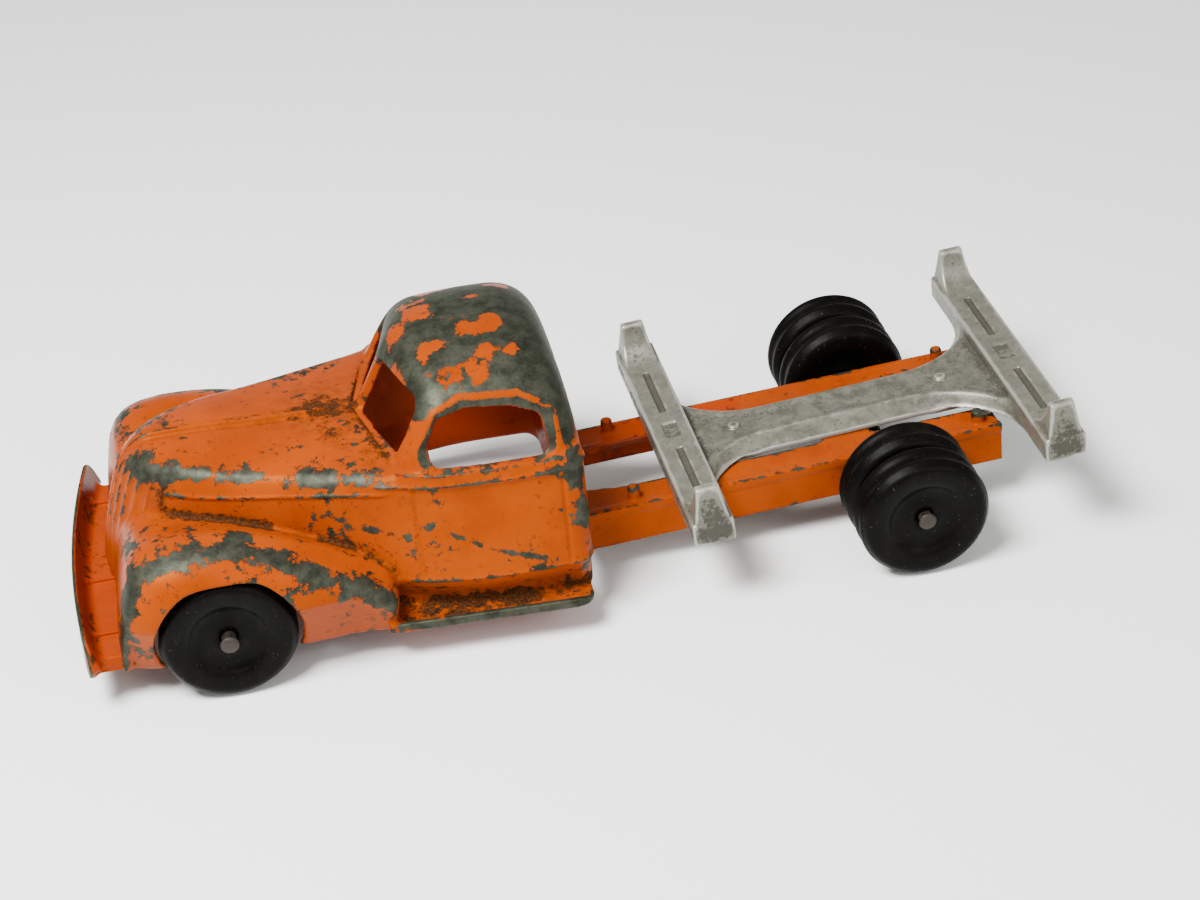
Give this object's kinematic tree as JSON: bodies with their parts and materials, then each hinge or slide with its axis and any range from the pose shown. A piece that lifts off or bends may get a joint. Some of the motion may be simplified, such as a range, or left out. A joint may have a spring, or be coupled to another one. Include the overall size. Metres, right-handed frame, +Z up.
{
  "type": "toy log truck",
  "caption": "Die-cast toy log truck: rounded cab and hood on open inclined rails, a log frame with horned bolsters, disc wheels that turn on loose axles, doubled at the rear.",
  "frame": {"origin": "on the ground, under the middle of the truck's length and width", "axes": "+X towards the front bumper, +Y to the driver's left, +Z up; the wheels stand on z = 0"},
  "size_m": [0.231, 0.0846, 0.0663],
  "materials": {
    "orange_paint": "glossy orange enamel over grey zinc casting, worn through on the roof, the shoulders and the edges",
    "silver_casting": "dull silver paint on a grey zinc casting, speckled with dark dirt",
    "axle_steel": "steel rod gone dull and brown, its ends flattened",
    "black_rubber": "hard black rubber, satin, with grey dust on the shoulders"
  },
  "bodies": {
    "truck": {"cab_body": "orange_paint", "front_bumper": "orange_paint", "front_axle_web": "orange_paint", "chassis_frame": "orange_paint", "log_frame": "silver_casting"},
    "front_axle_body": {"front_axle": "axle_steel"},
    "rear_axle_body": {"rear_axle": "axle_steel"},
    "front_left_wheel_body": {"front_left_wheel": "black_rubber"},
    "front_right_wheel_body": {"front_right_wheel": "black_rubber"},
    "rear_left_outer_wheel_body": {"rear_left_outer_wheel": "black_rubber"},
    "rear_left_inner_wheel_body": {"rear_left_inner_wheel": "black_rubber"},
    "rear_right_outer_wheel_body": {"rear_right_outer_wheel": "black_rubber"},
    "rear_right_inner_wheel_body": {"rear_right_inner_wheel": "black_rubber"}
  },
  "joints": [
    {"name": "front_axle_spin", "type": "hinge", "parent": "truck", "child": "front_axle_body", "pos_m": [0.0824, 0, 0.0155], "axis": [0, 1, 0], "continuous": true},
    {"name": "rear_axle_spin", "type": "hinge", "parent": "truck", "child": "rear_axle_body", "pos_m": [-0.0772, 0, 0.0155], "axis": [0, 1, 0], "continuous": true},
    {"name": "front_left_wheel_spin", "type": "hinge", "parent": "front_axle_body", "child": "front_left_wheel_body", "pos_m": [0.0824, 0.0354, 0.0155], "axis": [0, 1, 0], "continuous": true},
    {"name": "front_right_wheel_spin", "type": "hinge", "parent": "front_axle_body", "child": "front_right_wheel_body", "pos_m": [0.0824, -0.0354, 0.0155], "axis": [0, 1, 0], "continuous": true},
    {"name": "rear_left_outer_wheel_spin", "type": "hinge", "parent": "rear_axle_body", "child": "rear_left_outer_wheel_body", "pos_m": [-0.0772, 0.0368, 0.0155], "axis": [0, 1, 0], "continuous": true},
    {"name": "rear_left_inner_wheel_spin", "type": "hinge", "parent": "rear_axle_body", "child": "rear_left_inner_wheel_body", "pos_m": [-0.0772, 0.0257, 0.0155], "axis": [0, 1, 0], "continuous": true},
    {"name": "rear_right_outer_wheel_spin", "type": "hinge", "parent": "rear_axle_body", "child": "rear_right_outer_wheel_body", "pos_m": [-0.0772, -0.0368, 0.0155], "axis": [0, 1, 0], "continuous": true},
    {"name": "rear_right_inner_wheel_spin", "type": "hinge", "parent": "rear_axle_body", "child": "rear_right_inner_wheel_body", "pos_m": [-0.0772, -0.0257, 0.0155], "axis": [0, 1, 0], "continuous": true}
  ]
}
